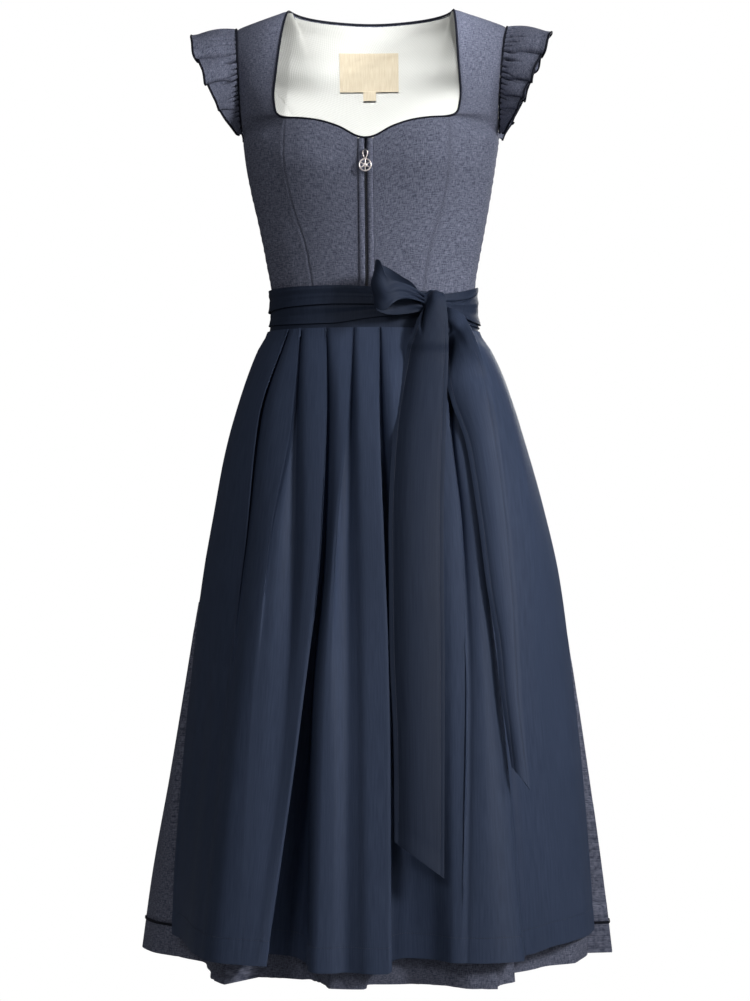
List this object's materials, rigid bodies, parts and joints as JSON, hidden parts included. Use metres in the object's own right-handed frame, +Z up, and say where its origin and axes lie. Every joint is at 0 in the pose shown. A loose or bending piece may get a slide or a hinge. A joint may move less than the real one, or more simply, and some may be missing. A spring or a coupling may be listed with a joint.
{
  "type": "dirndl dress",
  "caption": "Sleeveless dirndl with ruffled caps, a zipped bodice, a gathered skirt and a dark apron with a wrapped sash tied in a side bow.",
  "frame": {"origin": "on the mid-line between the shoulders, level with the tops of the straps", "axes": "+Z up along the length of the dress, the front faces -Y, +X to the right seen from the front"},
  "size_m": [0.5654, 0.5157, 1.1293],
  "materials": {
    "melange_cloth": "matt blue-grey melange weave",
    "off_white_lining": "matt off-white twill",
    "navy_trim": "matt navy binding and tape",
    "navy_satin": "soft satin sheen",
    "silver_metal": "polished, slightly warm",
    "cream_label": "woven cream ribbon"
  },
  "bodies": {
    "dress": {"bodice_front_right": "melange_cloth", "bodice_front_left": "melange_cloth", "bodice_side_front_right": "melange_cloth", "bodice_side_front_left": "melange_cloth", "bodice_back": "melange_cloth", "bodice_side_back_right": "melange_cloth", "bodice_side_back_left": "melange_cloth", "ruffle_right": "melange_cloth", "ruffle_left": "melange_cloth", "skirt_front": "melange_cloth", "skirt_back": "melange_cloth", "placket_right": "melange_cloth", "placket_left": "melange_cloth", "lining_back": "off_white_lining", "lining_side_right": "off_white_lining", "lining_side_left": "off_white_lining", "neck_piping": "navy_trim", "ruffle_binding_right": "navy_trim", "ruffle_binding_left": "navy_trim", "hem_tuck_front": "navy_trim", "hem_tuck_back": "navy_trim", "zip_tape": "navy_trim", "apron": "navy_satin", "apron_waistband": "navy_satin", "sash_lower_wrap": "navy_satin", "sash_upper_wrap": "navy_satin", "bow_knot": "navy_satin", "bow_loop": "navy_satin", "bow_tail_main": "navy_satin", "bow_tail_second": "navy_satin", "zip_slider": "silver_metal", "label": "cream_label", "size_tab": "cream_label"},
    "pull": {"zip_pull": "silver_metal"}
  },
  "joints": [
    {"name": "pull_swing", "type": "hinge", "parent": "dress", "child": "pull", "pos_m": [0, -0.125, -0.1862], "axis": [1, 0, 0], "range_deg": [-150, 0]}
  ]
}
